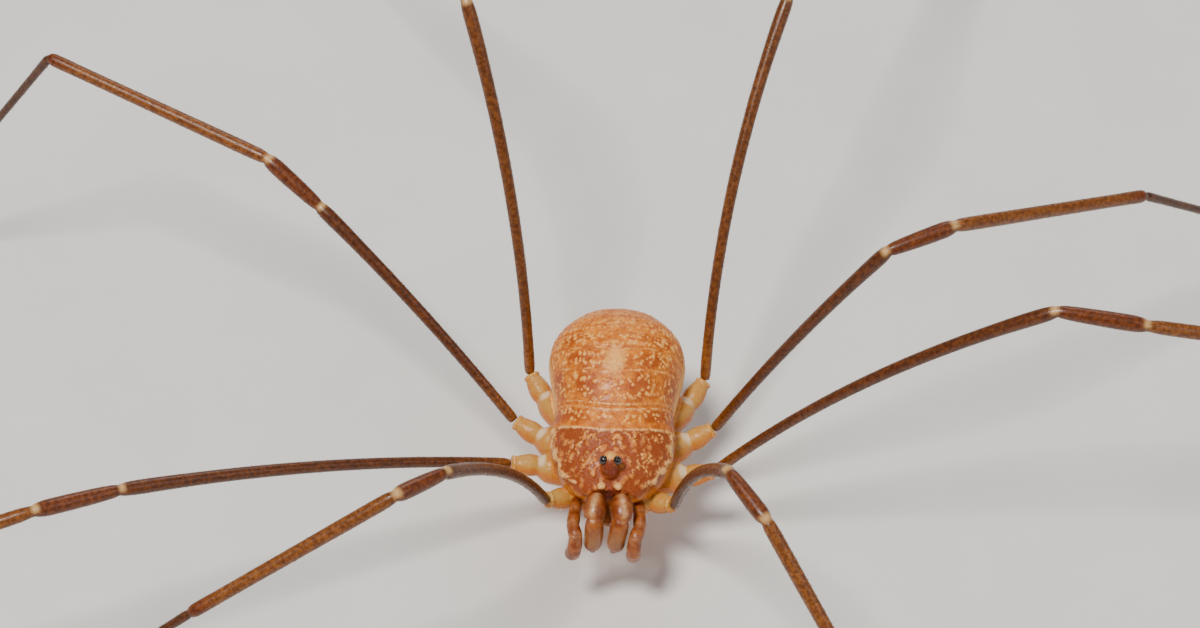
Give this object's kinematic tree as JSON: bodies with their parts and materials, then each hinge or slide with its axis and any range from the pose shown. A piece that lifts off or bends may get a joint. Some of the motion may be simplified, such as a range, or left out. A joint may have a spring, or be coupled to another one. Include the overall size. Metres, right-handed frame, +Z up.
{
  "type": "harvestman",
  "caption": "Life-size harvestman standing on long thin legs, with a rounded orange-brown body and folded mouthparts.",
  "frame": {"origin": "middle of the footprint, on the floor that the feet stand on", "axes": "+Z up, -Y the way the head faces, +X the animal's left"},
  "size_m": [0.1214, 0.0676, 0.0143],
  "materials": {
    "back": "satin, mottled orange-brown with cream dots",
    "eye": "glossy black",
    "mouthparts": "satin, slightly translucent orange-brown",
    "leg_root": "satin, translucent amber with pale lobes",
    "leg": "satin chestnut brown, pale at the joints"
  },
  "bodies": {
    "root": {"prosoma": "back", "opisthosoma": "back", "ocularium": "back", "eye_left": "eye", "eye_right": "eye", "chelicera_left": "mouthparts", "chelicera_right": "mouthparts", "pedipalp_left": "mouthparts", "pedipalp_right": "mouthparts", "trochanter_left_1": "leg_root", "trochanter_left_2": "leg_root", "trochanter_left_3": "leg_root", "trochanter_left_4": "leg_root", "trochanter_right_1": "leg_root", "trochanter_right_2": "leg_root", "trochanter_right_3": "leg_root", "trochanter_right_4": "leg_root", "femur_left_1": "leg", "femur_left_2": "leg", "femur_left_3": "leg", "femur_left_4": "leg", "femur_right_1": "leg", "femur_right_2": "leg", "femur_right_3": "leg", "femur_right_4": "leg", "patella_left_1": "leg", "patella_left_2": "leg", "patella_left_3": "leg", "patella_left_4": "leg", "patella_right_1": "leg", "patella_right_2": "leg", "patella_right_3": "leg", "patella_right_4": "leg", "tibia_left_1": "leg", "tibia_left_2": "leg", "tibia_left_3": "leg", "tibia_left_4": "leg", "tibia_right_1": "leg", "tibia_right_2": "leg", "tibia_right_3": "leg", "tibia_right_4": "leg", "metatarsus_left_1": "leg", "metatarsus_left_2": "leg", "metatarsus_left_3": "leg", "metatarsus_left_4": "leg", "metatarsus_right_1": "leg", "metatarsus_right_2": "leg", "metatarsus_right_3": "leg", "metatarsus_right_4": "leg", "tarsus_left_1": "leg", "tarsus_left_2": "leg", "tarsus_left_3": "leg", "tarsus_left_4": "leg", "tarsus_right_1": "leg", "tarsus_right_2": "leg", "tarsus_right_3": "leg", "tarsus_right_4": "leg"}
  },
  "joints": []
}
